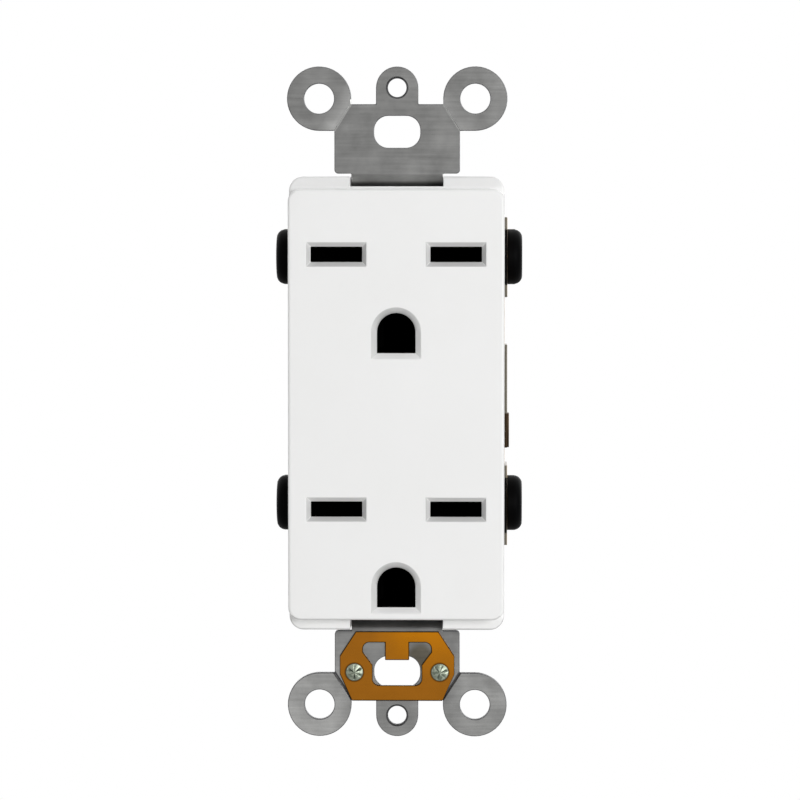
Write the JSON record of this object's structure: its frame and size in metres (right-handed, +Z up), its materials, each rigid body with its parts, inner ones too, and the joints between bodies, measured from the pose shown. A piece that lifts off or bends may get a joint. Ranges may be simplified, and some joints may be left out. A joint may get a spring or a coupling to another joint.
{
  "type": "duplex wall outlet",
  "caption": "White rectangular-face duplex wall outlet with horizontal blade slots, ground holes, a wrap-round steel strap, a bronze grounding clip and side clamp terminals.",
  "frame": {"origin": "middle of the plane where the backs of the strap's ears meet the wall, halfway between the cover-plate screw holes", "axes": "+X right and +Z up, seen from the room; +Y back into the wall"},
  "size_m": [0.0386, 0.0353, 0.1034],
  "materials": {
    "white_nylon": "satin moulded",
    "dark_thermoplastic": "fine moulded texture",
    "galvanised_steel": "galvanised, rolled grain",
    "bronze": "rolled",
    "brass": "rolled",
    "zinc_plated_steel": "zinc plated",
    "black_screw": "black oxide",
    "green_screw": "green dyed zinc",
    "clamp_steel": "yellow zinc plated"
  },
  "bodies": {
    "housing": {"face_cover": "white_nylon", "back_body": "dark_thermoplastic", "mounting_strap": "galvanised_steel", "ground_clip": "bronze", "ground_clip_rivets": "zinc_plated_steel", "hot_contact_left": "brass", "hot_contact_right": "brass", "ground_contact_upper": "brass", "ground_contact_lower": "brass", "ground_contact_rivets": "zinc_plated_steel", "assembly_screws": "zinc_plated_steel"},
    "terminal_screw_upper_left": {"terminal_screw_upper_left": "black_screw"},
    "wire_clamp_upper_left": {"wire_clamp_upper_left": "clamp_steel"},
    "terminal_screw_upper_right": {"terminal_screw_upper_right": "black_screw"},
    "wire_clamp_upper_right": {"wire_clamp_upper_right": "clamp_steel"},
    "terminal_screw_lower_left": {"terminal_screw_lower_left": "black_screw"},
    "wire_clamp_lower_left": {"wire_clamp_lower_left": "clamp_steel"},
    "terminal_screw_lower_right": {"terminal_screw_lower_right": "black_screw"},
    "wire_clamp_lower_right": {"wire_clamp_lower_right": "clamp_steel"},
    "ground_washer": {"ground_washer": "zinc_plated_steel"},
    "ground_screw": {"ground_screw": "green_screw"}
  },
  "joints": [
    {"name": "terminal_screw_upper_left_turn", "type": "hinge", "parent": "housing", "child": "terminal_screw_upper_left", "pos_m": [-0.017, 0.015, 0.02225], "axis": [1, 0, 0], "range_deg": [0, 1440]},
    {"name": "wire_clamp_upper_left_slide", "type": "slide", "parent": "housing", "child": "wire_clamp_upper_left", "axis": [-1, 0, 0], "range_m": [0, 0.00317]},
    {"name": "terminal_screw_upper_right_turn", "type": "hinge", "parent": "housing", "child": "terminal_screw_upper_right", "pos_m": [0.017, 0.015, 0.02225], "axis": [-1, 0, 0], "range_deg": [0, 1440]},
    {"name": "wire_clamp_upper_right_slide", "type": "slide", "parent": "housing", "child": "wire_clamp_upper_right", "axis": [1, 0, 0], "range_m": [0, 0.00317]},
    {"name": "terminal_screw_lower_left_turn", "type": "hinge", "parent": "housing", "child": "terminal_screw_lower_left", "pos_m": [-0.017, 0.015, -0.01665], "axis": [1, 0, 0], "range_deg": [0, 1440]},
    {"name": "wire_clamp_lower_left_slide", "type": "slide", "parent": "housing", "child": "wire_clamp_lower_left", "axis": [-1, 0, 0], "range_m": [0, 0.00317]},
    {"name": "terminal_screw_lower_right_turn", "type": "hinge", "parent": "housing", "child": "terminal_screw_lower_right", "pos_m": [0.017, 0.015, -0.01665], "axis": [-1, 0, 0], "range_deg": [0, 1440]},
    {"name": "wire_clamp_lower_right_slide", "type": "slide", "parent": "housing", "child": "wire_clamp_lower_right", "axis": [1, 0, 0], "range_m": [0, 0.00317]},
    {"name": "ground_washer_slide", "type": "slide", "parent": "housing", "child": "ground_washer", "axis": [1, 0, 0], "range_m": [0, 0.00159]},
    {"name": "ground_screw_turn", "type": "hinge", "parent": "ground_washer", "child": "ground_screw", "pos_m": [-0.0157, 0.015, -0.0286], "axis": [1, 0, 0], "range_deg": [0, 720]}
  ],
  "couplings": [
    {"joint": "terminal_screw_upper_left_turn", "follows": "wire_clamp_upper_left_slide", "rad_per_m": 7915.8},
    {"joint": "terminal_screw_upper_right_turn", "follows": "wire_clamp_upper_right_slide", "rad_per_m": 7915.8},
    {"joint": "terminal_screw_lower_left_turn", "follows": "wire_clamp_lower_left_slide", "rad_per_m": 7915.8},
    {"joint": "terminal_screw_lower_right_turn", "follows": "wire_clamp_lower_right_slide", "rad_per_m": 7915.8},
    {"joint": "ground_screw_turn", "follows": "ground_washer_slide", "rad_per_m": 7915.8}
  ]
}
